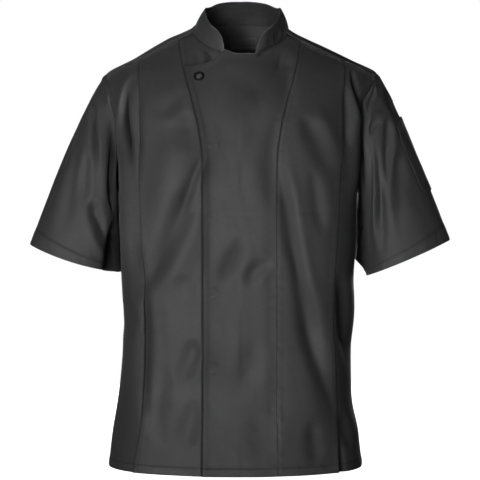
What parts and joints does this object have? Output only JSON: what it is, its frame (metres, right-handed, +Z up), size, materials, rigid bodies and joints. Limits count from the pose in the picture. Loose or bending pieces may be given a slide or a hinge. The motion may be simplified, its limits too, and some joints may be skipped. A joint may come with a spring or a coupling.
{
  "type": "chef jacket",
  "caption": "Short-sleeved chef jacket with a lapped stud-closed front and a stand collar, filled out as if worn.",
  "frame": {"origin": "midway between the shoulders, level with the foot of the collar at the sides of the neck", "axes": "+Z up, -Y out of the jacket's front, +X to the wearer's left"},
  "size_m": [0.714, 0.288, 0.7958],
  "materials": {
    "twill": "charcoal polyester and cotton twill with a faint sheen",
    "label": "plain dark woven tape",
    "stud": "black nickel ring snap, glossy"
  },
  "bodies": {
    "root": {"right_side_panel": "twill", "left_side_panel": "twill", "right_front": "twill", "left_front": "twill", "right_underlap": "twill", "front_lap": "twill", "back": "twill", "collar": "twill", "right_sleeve": "twill", "left_sleeve": "twill", "sleeve_pocket": "twill", "neck_label": "label", "stud": "stud"}
  },
  "joints": []
}
